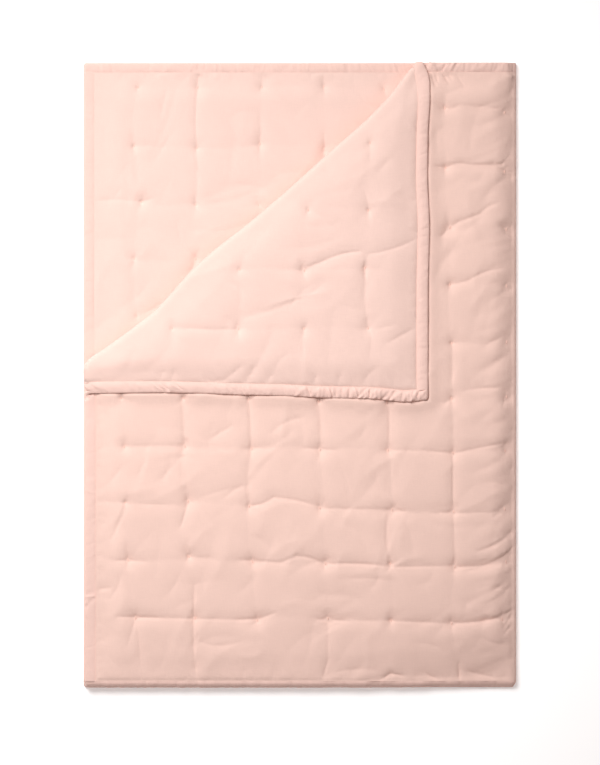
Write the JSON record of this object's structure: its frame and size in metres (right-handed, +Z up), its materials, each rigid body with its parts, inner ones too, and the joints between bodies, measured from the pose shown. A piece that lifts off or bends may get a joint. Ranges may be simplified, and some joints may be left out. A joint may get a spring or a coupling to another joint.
{
  "type": "quilt",
  "caption": "Child's tufted quilt with bound edges, folded once across its length, one corner of the upper layer turned back.",
  "frame": {"origin": "under the middle of the folded quilt, on the surface it lies on", "axes": "+X across the folded quilt towards its rounded fold, +Y along the fold towards the head, +Z up off the surface"},
  "size_m": [0.694, 1.0016, 0.047],
  "materials": {
    "panel_cloth": "soft matte cotton, pale pink",
    "binding_cloth": "soft matte cotton, slightly pinker"
  },
  "bodies": {
    "root": {"quilt_panel": "panel_cloth", "binding_head": "binding_cloth", "binding_foot": "binding_cloth", "binding_lower_end": "binding_cloth", "binding_upper_end": "binding_cloth"}
  },
  "joints": []
}
